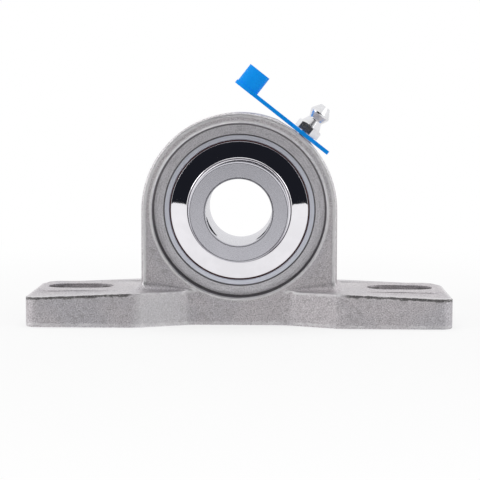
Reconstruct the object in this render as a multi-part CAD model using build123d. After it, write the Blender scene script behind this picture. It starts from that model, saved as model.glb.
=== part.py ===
from build123d import *
import math
import os

# Pillow block bearing: a cast housing on two slotted feet, a self-aligning ball bearing
# insert locked on its shaft by two set screws, and a grease nipple with a dust cap.
# Millimetres. X runs along the base and Z up. Y runs along the shaft, from the locking
# side at the front (-Y) to the back (+Y). The origin is at the middle of the base's
# underside, below the centre of the bearing.

# ---- Housing: base ---------------------------------------------------------------------
shaft_height = 33.3             # underside of the base to the shaft's axis
base_width = 38.0
bolt_spacing = 95.0
bolt_slot_width = 11.0          # clearance for an M10 or a 3/8 inch bolt
bolt_slot_length = 19.5
foot_end_wall = 5.25            # foot beyond the outer end of its bolt slot
slot_rim_radius = 0.5
foot_root_height = 9.7          # top edge of a foot beside the web
foot_tip_height = 8.2           # top edge of a foot at its outer end
foot_corner_radius = 8.0        # in plan
foot_edge_radius = 0.9
underside_edge_radius = 0.4
waist_flat = 25.8               # length of the narrow middle of the base
waist_inset = 0.25              # how far the middle lies inside the web's faces
waist_blend_radius = 14.0
waist_end_margin = 0.5          # the base is full width this far outside the legs
pad_rise = 1.1                  # raised pad round each bolt slot
pad_side_margin = 5.4           # ledge left beside the pad
pad_end_margin = 3.0            # ledge left at the outer end
pad_corner_radius = 9.0
pad_edge_radius = 1.0

# ---- Housing: web, dome and seat -------------------------------------------------------
web_thickness = 24.4
web_edge_radius = 1.5
web_root_radius = 3.1           # quarter-round bead between the web and the feet
root_fade_shares = (1.0, 0.75, 0.5, 0.25, 0.04)     # of the way along the fading bead
root_fade_power = 0.7           # how fast the bead's radius falls off along it
root_bend_shares = (0, 1 / 3, 2 / 3, 1)             # of the way round a leg's corner, pad to foot
seat_clearance = 0.03           # between the housing's seat and the insert, on the radius
seat_face_reach = 0.4           # machined face beyond the outer ring's face
seat_edge_chamfer = 0.35
seat_land = 2.75                # width of the machined face
recess_flare = 0.9              # widening of the cast recess from the land to the web face
recess_rim_radius = 0.4
rim_width = 3.3                 # cast rim outside the recess
loading_clearance = 0.2         # round the insert as it goes in edge on
seat_groove_depth = 0.5
seat_groove_reach = 1.6         # how far the seat groove runs past the nipple hole

# ---- Insert: rings, balls and cage -----------------------------------------------------
shaft_diameter = 19.05          # 3/4 inch
outer_ring_width = 17.0
outer_face_chamfer = 0.25
inner_ring_front = 18.3         # bearing centre to the locking end
inner_ring_back = 12.7          # bearing centre to the plain end
inner_face_chamfer = 0.6
bore_chamfer = 0.45
inner_ring_wall = 3.241         # bore to the bottom of the inner raceway
inner_shoulder_height = 1.634   # above the inner raceway's bottom
ball_diameter = 7.938           # 5/16 inch
ball_count = 8
ball_clearance = 0.015          # between a ball and the bottom of each raceway
raceway_ratio = 0.52            # raceway radius as a share of the ball's diameter
outer_shoulder_height = 1.45    # above the outer raceway's bottom
outer_ring_wall = 2.766         # outer raceway's bottom to the spherical outside
lube_groove_width = 2.4
lube_groove_depth = 0.6
lube_groove_offset = 4.4        # from the middle of the outer ring, towards the back
lube_hole_diameter = 1.6
lube_hole_angles = (60.0, 240.0)
cage_thickness = 0.6
cage_pocket_clearance = 0.14
cage_ring_clearance = 0.75      # between the cage and the shoulder of each ring
rivet_diameter = 1.2
rivet_head_diameter = 2.0
rivet_head_height = 0.35

# ---- Insert: seals and flingers --------------------------------------------------------
seal_seat_depth = 2.6           # step in each face of the outer ring
seal_core_thickness = 0.5
seal_core_flange = 1.5          # depth of the core's pressed rim
seal_core_inset = 1.25          # between the core's hole and the inner ring
seal_skin = 0.45                # rubber over the core's face
seal_edge_skin = 0.22           # rubber between the core and the outer ring
seal_lip_width = 0.45
seal_lip_lean = 0.45            # how far the lip's edge stands out from the seal's face
seal_lip_gap = 0.05             # running gap at the inner ring
flinger_overlap = 0.716         # flinger's rim beyond the outer ring's shoulder
flinger_rim_gap = 0.4           # open ring between flinger and outer ring
flinger_thickness = 0.5
flinger_rim_reach = 0.05        # rim beyond the outer ring's face
flinger_slope = 13.4            # degrees, how far the flinger's face is coned
flinger_bend_radius = 0.75
flinger_collar_reach = 1.85     # collar's end beyond the outer ring's face

# ---- Insert: locking -------------------------------------------------------------------
set_screw_diameter = 6.35       # 1/4 inch
set_screw_clearance = 0.03
set_screw_inset = 4.6           # screw axis from the locking end
set_screw_middle_angle = 265.0  # seen from the front, anticlockwise from +X
set_screw_spread = 112.0
set_screw_bore_gap = 0.45       # point to bore
set_screw_top_gap = 0.3         # socket end below the ring's outside
set_screw_point_chamfer = 0.7
set_screw_top_chamfer = 0.3
set_screw_cup_depth = 0.5       # hollow in the point
set_screw_cup_rim = 0.6         # width of the point's rim
set_screw_socket = 3.175        # 1/8 inch across flats
set_screw_socket_depth = 2.4

# ---- Grease nipple and dust cap --------------------------------------------------------
nipple_angle = 52.0             # direction of the nipple above +X
nipple_offset = 1.35            # nipple axis beside the bearing's centre
nipple_flat_depth = 1.0         # flat on the dome, below the dome's crown
nipple_shank_diameter = 6.2
nipple_shank_clearance = 0.05
nipple_shank_gap = 0.75         # shank's end above the insert
nipple_shank_chamfer = 0.5
nipple_hex = 7.0
nipple_hex_height = 2.4
nipple_hex_bevel = 0.35
nipple_hex_turn = -14.0
nipple_cone_height = 2.2        # hexagon's top to the narrowest place of the neck
nipple_neck_diameter = 4.4
nipple_undercut_height = 1.9    # narrowest place of the neck to the head's widest
nipple_head_diameter = 6.3
nipple_head_band = 0.5
nipple_head_height = 4.9        # narrowest place of the neck to the tip
nipple_edge_radius = 0.35
nipple_tip_diameter = 3.0
nipple_bore_diameter = 3.0
nipple_inlet_diameter = 1.6
nipple_inlet_depth = 0.9
nipple_outlet_lip = 0.5         # crimped end that holds the spring
nipple_outlet_diameter = 1.8
check_ball_diameter = 2.6
check_ball_gap = 0.02
spring_wire = 0.32
spring_turns = 9
spring_side_clearance = 0.18
spring_end_gap = 0.03
cap_gap = 0.2                   # cap ring to the flat below and to the hexagon above
cap_thickness = 1.15
cap_ring_diameter = 10.4
cap_hole_clearance = 0.1
cap_strap_width = 5.2
cap_reach = 21.65               # ring centre to cup centre
cap_tail = 8.95                 # ring centre to the end of the pull tab
cap_tail_corner = 0.8
cap_flange_width = 0.3          # flange outside the cup
cap_cup_wall = 0.4
cap_cup_floor = 1.0
cap_cup_height = 5.9

# ---- Modelling allowances --------------------------------------------------------------
cut_margin = 1.0                # how far a cutter or a buried end runs past a face
pick_margin = 0.01              # tolerance when faces and edges are picked by place

# ---- Values worked out from the sizes above ----------------------------------------------
ball_radius = ball_diameter / 2
raceway_radius = ball_diameter * raceway_ratio
inner_raceway = shaft_diameter / 2 + inner_ring_wall
inner_ring_radius = inner_raceway + inner_shoulder_height
pitch_radius = inner_raceway + ball_clearance + ball_radius       # circle through the balls' centres
outer_raceway = pitch_radius + ball_radius + ball_clearance
outer_shoulder = outer_raceway - outer_shoulder_height
sphere_radius = outer_raceway + outer_ring_wall
flinger_radius = outer_shoulder + flinger_overlap
ring_face = outer_ring_width / 2
seal_seat_radius = flinger_radius + flinger_rim_gap
seal_step = ring_face - seal_seat_depth
seat_radius = sphere_radius + seat_clearance
seat_face = ring_face + seat_face_reach
web_face = web_thickness / 2
land_inner = math.sqrt(seat_radius ** 2 - seat_face ** 2) + seat_edge_chamfer
recess_radius = land_inner + seat_land
recess_mouth = recess_radius + recess_flare
dome_radius = recess_mouth + rim_width
base_length = bolt_spacing + bolt_slot_length + 2 * foot_end_wall
foot_slope = (foot_root_height - foot_tip_height) / (base_length / 2 - dome_radius)
set_screw_axial = -inner_ring_front + set_screw_inset
set_screw_angles = {
    "left": set_screw_middle_angle - set_screw_spread / 2,
    "right": set_screw_middle_angle + set_screw_spread / 2,
}
flat_height = dome_radius - nipple_flat_depth
cap_bottom = flat_height + cap_gap
cap_top = cap_bottom + cap_thickness
hex_bottom = cap_top + cap_gap
hex_top = hex_bottom + nipple_hex_height
neck_height = hex_top + nipple_cone_height
nipple_tip = neck_height + nipple_head_height
shank_end = sphere_radius + nipple_shank_gap
cup_diameter = nipple_head_diameter + 2 * cap_cup_wall
bore_top = nipple_tip - nipple_inlet_depth
check_ball_height = (bore_top + nipple_inlet_diameter / 2
                     - math.sqrt(2) * (check_ball_diameter / 2 + check_ball_gap))

# The bearing's own frame: its Z is the shaft's axis and points to the back.
bearing_place = Location((0, 0, shaft_height), (-90, 0, 0))


def outward_plane(angle, axial=0.0):
    """Plane on the shaft's axis whose Z points outwards, at an angle above +X."""
    turn = math.radians(angle)
    outward = (math.cos(turn), 0, math.sin(turn))
    return Plane(origin=(0, axial, shaft_height), x_dir=(0, 1, 0), z_dir=outward)


def nipple_plane():
    """Plane with the nipple's axis as Z, from the level of the bearing's centre."""
    turn = math.radians(nipple_angle)
    along = (math.sin(turn), 0, -math.cos(turn))
    start = (nipple_offset * along[0], 0, shaft_height + nipple_offset * along[2])
    return Plane(origin=start, x_dir=along, z_dir=(math.cos(turn), 0, math.sin(turn)))


def turned(points):
    """Solid of revolution about Z from a closed outline of (radius, height) points."""
    outline = Plane.XZ * Polyline(*points, close=True)
    return revolve(make_face(outline), Axis.Z, 360)


def tube(inner, outer, low, high):
    """Plain ring about Z between two radii and two heights."""
    return turned([(inner, low), (outer, low), (outer, high), (inner, high)])


# ---- Housing -----------------------------------------------------------------------------
def four_way(points):
    """Closed outline that repeats a quarter's points in all four quadrants."""
    right = points + [(x, -y) for x, y in reversed(points)]
    return right + [(-x, -y) for x, y in points] + [(-x, y) for x, y in reversed(points)]


def base_plan():
    """Outline of the base: two broad feet joined by a waist that the web covers."""
    end, side = base_length / 2, base_width / 2
    full_width_at = dome_radius + waist_end_margin
    quarter = [(waist_flat / 2, web_face - waist_inset), (full_width_at, side), (end, side)]
    plan = make_face(Polyline(*four_way(quarter), close=True))
    corners = plan.vertices().filter_by(lambda v: abs(v.X) > end - pick_margin)
    plan = fillet(corners, foot_corner_radius)
    bends = plan.vertices().filter_by(lambda v: abs(v.X) < full_width_at + pick_margin)
    return fillet(bends, waist_blend_radius)


def above_feet(rise):
    """Space above the sloping tops of both feet, raised by a given amount."""
    level = foot_root_height + rise
    far = base_length
    drop = (far - dome_radius) * foot_slope
    right = [(dome_radius, level), (far, level - drop), (far, level + far)]
    outline = right + [(-x, z) for x, z in reversed(right)]
    return extrude(Plane.XZ * make_face(Polyline(*outline, close=True)), base_width, both=True)


def base_plate():
    """Base with its feet, rounded along the upper and lower edges."""
    plate = extrude(base_plan(), foot_root_height + cut_margin) - above_feet(0)
    rims = plate.edges().filter_by(lambda e: e.bounding_box().min.Z > pick_margin)
    folds = rims.filter_by(lambda e: abs(abs(e.center().X) - dome_radius) < pick_margin)
    plate = fillet([edge for edge in rims if edge not in folds], foot_edge_radius)
    return fillet(plate.edges().group_by(Axis.Z)[0], underside_edge_radius)


def slot_pad(side):
    """Raised pad on one foot, with rounded corners and edges."""
    near, far = dome_radius - web_edge_radius, base_length / 2 - pad_end_margin
    half = base_width / 2 - pad_side_margin
    plan = make_face(Polyline((near, -half), (far, -half), (far, half), (near, half), close=True))
    plan = fillet(plan.vertices().filter_by(lambda v: v.X > far - pick_margin), pad_corner_radius)
    pad = extrude(plan, foot_root_height + pad_rise + cut_margin) - above_feet(pad_rise)
    top = pad.faces().filter_by(lambda f: f.normal_at().Z > 0.9).sort_by(Axis.Z)[-2:]
    rim = top.edges().filter_by(lambda e: e.center().X > dome_radius + pick_margin)
    pad = fillet(rim, pad_edge_radius)
    return pad if side > 0 else mirror(pad, Plane.YZ)


def web_body():
    """Upright web with its half-round dome, rounded round the outline and the underside."""
    legs = Pos(0, shaft_height / 2) * Rectangle(2 * dome_radius, shaft_height)
    outline = legs + Pos(0, shaft_height) * Circle(dome_radius)
    web = extrude(Plane.XZ * outline, web_face, both=True)
    rims = web.edges().filter_by(lambda e: abs(abs(e.center().Y) - web_face) < pick_margin)
    web = fillet(rims.filter_by(lambda e: e.center().Z > pick_margin), web_edge_radius)
    return fillet(web.edges().group_by(Axis.Z)[0], underside_edge_radius)


def root_section(radius):
    """Corner bead in section, its quarter round bulging outwards: X away from the web, Y up from the foot."""
    buried = pad_rise + cut_margin
    arc = RadiusArc((0, radius), (radius, 0), radius)
    rest = Polyline((radius, 0), (radius, -buried), (-buried, -buried), (-buried, radius), (0, radius))
    return make_face([arc, rest])


def root_plane(x, y, level, angle):
    """Upright plane on the web's outline whose X points away from the web, at an angle above +X."""
    turn = math.radians(angle)
    away, side = (math.cos(turn), math.sin(turn), 0), (math.sin(turn), -math.cos(turn), 0)
    return Plane(origin=(x, y, level), x_dir=away, z_dir=side)


def root_beads():
    """Beads round both legs, fading out where the base narrows to the web, piece by piece."""
    start = dome_radius - web_edge_radius
    corner = web_face - web_edge_radius
    fade = waist_flat / 2
    runs = []
    for share in root_fade_shares:
        plane = root_plane(fade + (start - fade) * share, web_face, foot_root_height, 90)
        runs.append(plane * root_section(web_root_radius * share ** root_fade_power))
    bends = []
    for share in root_bend_shares:
        turn = math.pi / 2 * share
        x, y = start + web_edge_radius * math.cos(turn), corner + web_edge_radius * math.sin(turn)
        level = foot_root_height + pad_rise * (1 - share)
        bends.append(root_plane(x, y, level, 90 * share) * root_section(web_root_radius))
    side_plane = root_plane(dome_radius, 0, foot_root_height + pad_rise, 0)
    side_run = extrude(side_plane * root_section(web_root_radius), corner, both=True)
    back = [loft(runs), loft(bends)]
    right = back + [mirror(piece, Plane.XZ) for piece in back] + [side_run]
    return right + [mirror(piece, Plane.YZ) for piece in right]


def seat_mouth():
    """Cutter for the back half of the recess: seat chamfer, machined face, flare and round rim."""
    flare_angle = math.atan2(recess_flare, web_face - seat_face)
    reach = recess_rim_radius * math.tan((math.pi / 2 - flare_angle) / 2)
    inner = (recess_mouth - reach * math.sin(flare_angle), web_face - reach * math.cos(flare_angle))
    outer = (recess_mouth + reach, web_face)
    far, throat = web_face + cut_margin, land_inner - seat_edge_chamfer
    face = Polyline(inner, (recess_radius, seat_face), (land_inner, seat_face),
                    (throat, seat_face - seat_edge_chamfer), (throat, 0), (0, 0), (0, far),
                    (outer[0], far), outer)
    rim = RadiusArc(outer, inner, -recess_rim_radius)
    return revolve(Plane.XZ * make_face([face, rim]), Axis.Z, 360)


def seat_cut():
    """Everything cut out of the housing round the shaft's axis."""
    mouth = seat_mouth()
    cut = mouth + mirror(mouth, Plane.XY) + Sphere(seat_radius)
    groove_end = lube_groove_offset + lube_groove_width / 2
    groove_floor = seat_radius + seat_groove_depth
    cut += tube(outer_shoulder, groove_floor, -seat_groove_reach, groove_end)
    notch_depth = web_face + cut_margin
    notch_width = 2 * (sphere_radius + loading_clearance)
    notch_height = outer_ring_width + 2 * loading_clearance
    cut += Pos(0, 0, notch_depth / 2) * Box(notch_width, notch_height, notch_depth)
    return bearing_place * cut


def with_bolt_slot(body, side):
    """The body with one bolt slot cut through its foot, rounded where it opens on the pad."""
    plan = SlotOverall(bolt_slot_length, bolt_slot_width)
    depth = foot_root_height + pad_rise + cut_margin
    body -= Pos(side * bolt_spacing / 2, 0, 0) * extrude(plan, depth, both=True)
    reach = (bolt_slot_length + pick_margin) / 2
    near = body.edges().filter_by(lambda e: abs(side * e.center().X - bolt_spacing / 2) < reach)
    inside = near.filter_by(lambda e: abs(e.center().Y) < bolt_slot_width / 2 + pick_margin)
    rim = inside.filter_by(lambda e: e.bounding_box().min.Z > foot_tip_height / 2)
    return fillet(rim, slot_rim_radius)


def nipple_seat():
    """Cutter for the flat across the dome and the hole for the grease nipple's shank."""
    flat = Box(2 * dome_radius, base_width, 2 * nipple_flat_depth)
    wall = dome_radius - sphere_radius
    drill = Cylinder(nipple_shank_diameter / 2 + nipple_shank_clearance, 2 * (wall + cut_margin))
    return nipple_plane() * (Pos(0, 0, dome_radius) * flat + Pos(0, 0, dome_radius) * drill)


def housing():
    """The cast and machined housing as one solid."""
    footprint = extrude(base_plan(), foot_root_height + pad_rise + 2 * web_root_radius)
    body = base_plate() + web_body()
    for piece in root_beads():
        body += piece & footprint
    body += slot_pad(1) + slot_pad(-1)
    for side in (1, -1):
        body = with_bolt_slot(body, side)
    return body - seat_cut() - nipple_seat()


# ---- Insert ------------------------------------------------------------------------------
def outer_ring():
    """Outer ring: spherical outside, stepped faces, raceway, lubrication groove and holes."""
    past = sphere_radius + cut_margin
    ring = Sphere(sphere_radius) & tube(outer_shoulder, past, -ring_face, ring_face)
    chamfer = outer_face_chamfer
    for sign in (1, -1):
        step = [(pitch_radius, seal_step), (seal_seat_radius, seal_step),
                (seal_seat_radius, ring_face - chamfer), (seal_seat_radius + chamfer, ring_face),
                (seal_seat_radius + chamfer, past), (pitch_radius, past)]
        ring -= turned([(r, sign * z) for r, z in step])
    ring -= Torus(outer_raceway - raceway_radius, raceway_radius)
    low = lube_groove_offset - lube_groove_width / 2
    floor = math.sqrt(sphere_radius ** 2 - lube_groove_offset ** 2) - lube_groove_depth
    ring -= tube(floor, past, low, low + lube_groove_width)
    ring = bearing_place * ring
    for angle in lube_hole_angles:
        drill = Pos(0, 0, sphere_radius) * Cylinder(lube_hole_diameter / 2, 2 * (past - outer_shoulder))
        ring -= outward_plane(angle, lube_groove_offset) * drill
    return ring


def inner_ring():
    """Inner ring: long locking end with two tapped holes, chamfered ends and raceway."""
    bore, outside = shaft_diameter / 2, inner_ring_radius
    front, back = -inner_ring_front, inner_ring_back
    ring = turned([
        (bore + bore_chamfer, front), (outside - inner_face_chamfer, front),
        (outside, front + inner_face_chamfer), (outside, back - inner_face_chamfer),
        (outside - inner_face_chamfer, back), (bore + bore_chamfer, back),
        (bore, back - bore_chamfer), (bore, front + bore_chamfer),
    ])
    ring -= Torus(inner_raceway + raceway_radius, raceway_radius)
    ring = bearing_place * ring
    radius = set_screw_diameter / 2 + set_screw_clearance
    for angle in set_screw_angles.values():
        drill = Pos(0, 0, inner_ring_radius) * Cylinder(radius, inner_ring_radius)
        ring -= outward_plane(angle, set_screw_axial) * drill
    return ring


def ball_positions():
    """Ball centres about the bearing's own Z axis."""
    return PolarLocations(pitch_radius, ball_count).locations


def rivet_positions():
    """Places midway between the balls."""
    return [Rot(0, 0, 180 / ball_count) * place for place in ball_positions()]


def ball(index):
    """One ball of the set."""
    return bearing_place * ball_positions()[index] * Sphere(ball_radius)


def cage_half(sign):
    """Pressed half of the ribbon cage, with a round pocket for each ball."""
    inner = inner_ring_radius + cage_ring_clearance
    outer = outer_shoulder - cage_ring_clearance
    pocket = ball_radius + cage_pocket_clearance
    band = tube(inner, outer, 0, cage_thickness)
    space = tube(inner, outer, 0, pocket + cage_thickness)
    half = band
    for place in ball_positions():
        half += (place * Sphere(pocket + cage_thickness)) & space
    for place in ball_positions():
        half -= place * Sphere(pocket)
    for place in rivet_positions():
        half -= place * Cylinder(rivet_diameter / 2, 2 * (cage_thickness + cut_margin))
    half = half if sign > 0 else mirror(half, Plane.XY)
    return bearing_place * half


def cage_rivets():
    """Rivets that join the two cage halves between the balls."""
    shank = Cylinder(rivet_diameter / 2, 2 * cage_thickness)
    head = Cylinder(rivet_head_diameter / 2, rivet_head_height)
    offset = cage_thickness + rivet_head_height / 2
    rivet = shank + Pos(0, 0, offset) * head + Pos(0, 0, -offset) * head
    rivets = [place * rivet for place in rivet_positions()]
    return bearing_place * (Part() + rivets)


def seal_core(sign):
    """Steel washer of a seal, with its rim pressed into the outer ring."""
    outer = seal_seat_radius - seal_edge_skin
    inner = inner_ring_radius + seal_core_inset
    wall = outer - seal_core_thickness
    low = seal_step + seal_edge_skin
    face, high = low + seal_core_thickness, low + seal_core_flange
    profile = [(inner, low), (outer, low), (outer, high), (wall, high), (wall, face), (inner, face)]
    return bearing_place * turned([(r, sign * z) for r, z in profile])


def seal_rubber(sign):
    """Moulded rubber round the core, with a lip that runs on the inner ring."""
    outer = seal_seat_radius
    lip = inner_ring_radius + seal_lip_gap
    low, high = seal_step, seal_step + 2 * seal_edge_skin + seal_core_flange
    face = low + seal_edge_skin + seal_core_thickness + seal_skin
    wall = outer - seal_edge_skin - seal_core_thickness - seal_skin
    profile = [(lip + seal_lip_width, low), (outer, low), (outer, high), (wall, high),
               (wall - seal_skin, face), (lip + seal_lip_width, face),
               (lip, face + seal_lip_lean), (lip, low + seal_lip_lean)]
    body = turned([(r, sign * z) for r, z in profile])
    return bearing_place * body - seal_core(sign)


def flinger(sign):
    """Coned steel flinger with a round rim, bent outwards into a collar on the inner ring."""
    thick, bend = flinger_thickness, flinger_bend_radius
    slope = math.tan(math.radians(flinger_slope))
    collar = inner_ring_radius + thick
    collar_end = ring_face + flinger_collar_reach
    rim_face = ring_face + flinger_rim_reach

    def level(radius):
        return rim_face + (flinger_radius - radius) * slope

    round_at = flinger_radius - thick / 2
    face = Line((round_at, level(round_at)), (collar + bend, level(collar + bend)))
    corner = RadiusArc(face @ 1, (collar, level(collar + bend) + bend), bend)
    end = Polyline(corner @ 1, (collar, collar_end), (inner_ring_radius, collar_end),
                   (inner_ring_radius, level(inner_ring_radius) - thick),
                   (round_at, level(round_at) - thick))
    rim = RadiusArc(end @ 1, face @ 0, -thick / 2)
    body = revolve(Plane.XZ * make_face([face, corner, end, rim]), Axis.Z, 360)
    return bearing_place * (body if sign > 0 else mirror(body, Plane.XY))


def set_screw(side):
    """Socket set screw, just short of the bore at its point and sunk at its top."""
    low = shaft_diameter / 2 + set_screw_bore_gap
    high = inner_ring_radius - set_screw_top_gap
    radius = set_screw_diameter / 2
    point, top = set_screw_point_chamfer, set_screw_top_chamfer
    screw = turned([(0, low + set_screw_cup_depth), (radius - point - set_screw_cup_rim, low),
                    (radius - point, low), (radius, low + point), (radius, high - top),
                    (radius - top, high), (0, high)])
    socket = extrude(RegularPolygon(set_screw_socket / math.sqrt(3), 6), set_screw_socket_depth)
    screw -= Pos(0, 0, high - set_screw_socket_depth) * socket
    return outward_plane(set_screw_angles[side], set_screw_axial) * screw


# ---- Grease nipple and dust cap --------------------------------------------------------------
def nipple_head():
    """Neck and head of the grease nipple above the hexagon."""
    neck, head, tip = nipple_neck_diameter / 2, nipple_head_diameter / 2, nipple_tip_diameter / 2
    base = nipple_hex / 2 - nipple_hex_bevel
    widest = neck_height + nipple_undercut_height
    outline = Plane.XZ * Polyline(
        (0, hex_bottom), (base, hex_bottom), (base, hex_top), (neck, neck_height), (head, widest),
        (head, widest + nipple_head_band), (tip, nipple_tip), (0, nipple_tip), close=True)
    section = make_face(outline)
    edges = section.vertices().filter_by(lambda v: v.X > pick_margin and v.Z > hex_top + pick_margin)
    return revolve(fillet(edges, nipple_edge_radius), Axis.Z, 360)


def nipple_hexagon():
    """Hexagon of the grease nipple, bevelled along its top."""
    corner, flat, top = nipple_hex / math.sqrt(3), nipple_hex / 2, nipple_hex_height
    bevel = turned([(0, 0), (corner, 0), (corner, top - nipple_hex_bevel), (flat, top), (0, top)])
    hexagon = extrude(RegularPolygon(corner, 6), top) & bevel
    return Pos(0, 0, hex_bottom) * Rot(0, 0, nipple_hex_turn) * hexagon


def grease_nipple():
    """Straight grease nipple with its valve bore, ready for the check ball and spring."""
    shank, chamfer = nipple_shank_diameter / 2, nipple_shank_chamfer
    stem = turned([(0, shank_end), (shank - chamfer, shank_end), (shank, shank_end + chamfer),
                   (shank, hex_bottom), (0, hex_bottom)])
    body = stem + nipple_hexagon() + nipple_head()
    bore, inlet, outlet = nipple_bore_diameter / 2, nipple_inlet_diameter / 2, nipple_outlet_diameter / 2
    lip_top = shank_end + nipple_outlet_lip
    below, above = shank_end - cut_margin, nipple_tip + cut_margin
    body -= turned([(0, below), (outlet, below), (outlet, lip_top), (bore, lip_top),
                    (bore, bore_top - bore + inlet), (inlet, bore_top), (inlet, above), (0, above)])
    return nipple_plane() * body


def nipple_check_ball():
    """Check ball, held against the conical seat at the nipple's tip."""
    return nipple_plane() * Pos(0, 0, check_ball_height) * Sphere(check_ball_diameter / 2)


def nipple_spring():
    """Coil spring between the crimped end of the nipple and its check ball."""
    low = shank_end + nipple_outlet_lip + spring_wire / 2 + spring_end_gap
    high = check_ball_height - check_ball_diameter / 2 - spring_wire / 2 - spring_end_gap
    radius = nipple_bore_diameter / 2 - spring_side_clearance - spring_wire / 2
    helix = Helix(pitch=(high - low) / spring_turns, height=high - low, radius=radius)
    section = Plane(origin=helix @ 0, z_dir=helix % 0) * Circle(spring_wire / 2)
    return nipple_plane() * Pos(0, 0, low) * sweep(section, path=helix, is_frenet=True)


def dust_cap():
    """Moulded cap: ring under the hexagon, flat strap, cup for the nipple's head, pull tab."""
    ring = Circle(cap_ring_diameter / 2)
    strap = Pos(-cap_reach / 2, 0) * Rectangle(cap_reach, cap_strap_width)
    tab = Pos(cap_tail / 2, 0) * Rectangle(cap_tail, cap_strap_width)
    tab = fillet(tab.vertices().filter_by(lambda v: v.X > cap_tail - pick_margin), cap_tail_corner)
    flange = Pos(-cap_reach, 0) * Circle(cup_diameter / 2 + cap_flange_width)
    plan = ring + strap + tab + flange
    plan -= Circle(nipple_shank_diameter / 2 + cap_hole_clearance)
    cap = Pos(0, 0, cap_bottom) * extrude(plan, cap_thickness)
    cup = extrude(Circle(cup_diameter / 2), cap_cup_height)
    cup -= Pos(0, 0, cap_cup_floor) * extrude(Circle(nipple_head_diameter / 2), cap_cup_height)
    cap += Pos(-cap_reach, 0, cap_top) * cup
    return nipple_plane() * cap


def build_nodes():
    """Every sub-part by its node name."""
    nodes = {"housing": housing(), "outer_ring": outer_ring(), "inner_ring": inner_ring()}
    for index in range(ball_count):
        nodes[f"ball_{index + 1}"] = ball(index)
    for name, sign in (("front", -1), ("rear", 1)):
        nodes[f"cage_{name}_half"] = cage_half(sign)
        nodes[f"{name}_seal_core"] = seal_core(sign)
        nodes[f"{name}_seal_rubber"] = seal_rubber(sign)
        nodes[f"{name}_flinger"] = flinger(sign)
    nodes["cage_rivets"] = cage_rivets()
    for side in set_screw_angles:
        nodes[f"set_screw_{side}"] = set_screw(side)
    nodes["grease_nipple"] = grease_nipple()
    nodes["nipple_check_ball"] = nipple_check_ball()
    nodes["nipple_spring"] = nipple_spring()
    nodes["dust_cap"] = dust_cap()
    return nodes


os.makedirs("parts", exist_ok=True)
for node_name, solid in build_nodes().items():
    export_step(solid, f"parts/{node_name}.step")
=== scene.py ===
"""Dresses a packed pillow block bearing: its studio, its finishes and its fine pieces.

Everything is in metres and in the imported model's frame: X along the base, Y along the shaft
from the locking side to the back, and Z up from the underside of the base. Sizes held in
classes are in millimetres, apart from the studio's, and angles are in degrees.
"""

import fnmatch
import logging
import math
from dataclasses import dataclass
from enum import Enum
from typing import Any, Callable, Dict, List, Optional, Sequence, Tuple, Union

import bmesh
import bpy
import numpy as np
from mathutils import Matrix, Vector


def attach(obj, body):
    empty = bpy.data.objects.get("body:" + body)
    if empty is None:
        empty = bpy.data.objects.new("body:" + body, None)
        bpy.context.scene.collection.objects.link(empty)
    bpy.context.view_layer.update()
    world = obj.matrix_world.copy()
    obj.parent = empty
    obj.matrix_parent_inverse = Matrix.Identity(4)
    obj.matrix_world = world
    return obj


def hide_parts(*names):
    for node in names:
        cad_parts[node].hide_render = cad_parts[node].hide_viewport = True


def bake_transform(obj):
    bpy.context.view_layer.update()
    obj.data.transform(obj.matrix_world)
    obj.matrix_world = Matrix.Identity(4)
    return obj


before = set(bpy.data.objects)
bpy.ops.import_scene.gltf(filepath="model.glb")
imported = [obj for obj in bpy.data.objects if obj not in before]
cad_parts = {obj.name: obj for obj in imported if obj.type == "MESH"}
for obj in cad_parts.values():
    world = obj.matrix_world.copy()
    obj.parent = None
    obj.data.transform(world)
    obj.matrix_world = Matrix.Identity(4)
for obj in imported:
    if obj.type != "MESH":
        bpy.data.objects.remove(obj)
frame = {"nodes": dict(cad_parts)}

LOG = logging.getLogger("pillow_block")
MM = 0.001
SHAFT_LEVEL = 33.3         # shaft axis above the underside, in millimetres
SHAFT_HEIGHT = SHAFT_LEVEL * MM
MERGE_DISTANCE = 1e-7      # points closer than this are one
TINY = 1e-6                # keeps a division from failing at a centre
FULL_TURN = 6.283          # widest random turn, in radians
WHITE = (1.0, 1.0, 1.0, 1.0)

Point = Tuple[float, float]
Place = Tuple[float, float, float]
Colour = Tuple[float, float, float]
Number = Union["Term", float]
Columns = Tuple[np.ndarray, ...]


class NodeNamed(Enum):
    """A choice whose name, in small letters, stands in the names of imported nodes."""

    @property
    def word(self) -> str:
        """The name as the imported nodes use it."""
        return self.name.lower()


class Face(NodeNamed):
    """The two faces of the bearing along its shaft."""

    FRONT = -1
    REAR = 1


class Screw(NodeNamed):
    """The two set screws, with the directions of their axes in degrees above +X."""

    LEFT = 209.0
    RIGHT = 321.0


# ---- Node trees --------------------------------------------------------------------------
def math_method(operation: str, reflected: bool = False) -> Callable[..., "Term"]:
    """Makes a method of a term that adds one Math node.

    Args:
        operation: the node's operation.
        reflected: whether the term is the last operand and not the first, as in 1 - mask.

    Returns:
        The method, which takes the other operands.
    """
    def method(self: "Term", *others: Number) -> "Term":
        """Adds the node and gives its result."""
        values = (*others, self) if reflected else (self, *others)
        inputs = dict(enumerate(values))
        return Term(self.sheet, self.sheet.first("ShaderNodeMath", inputs, operation=operation))

    return method


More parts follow.
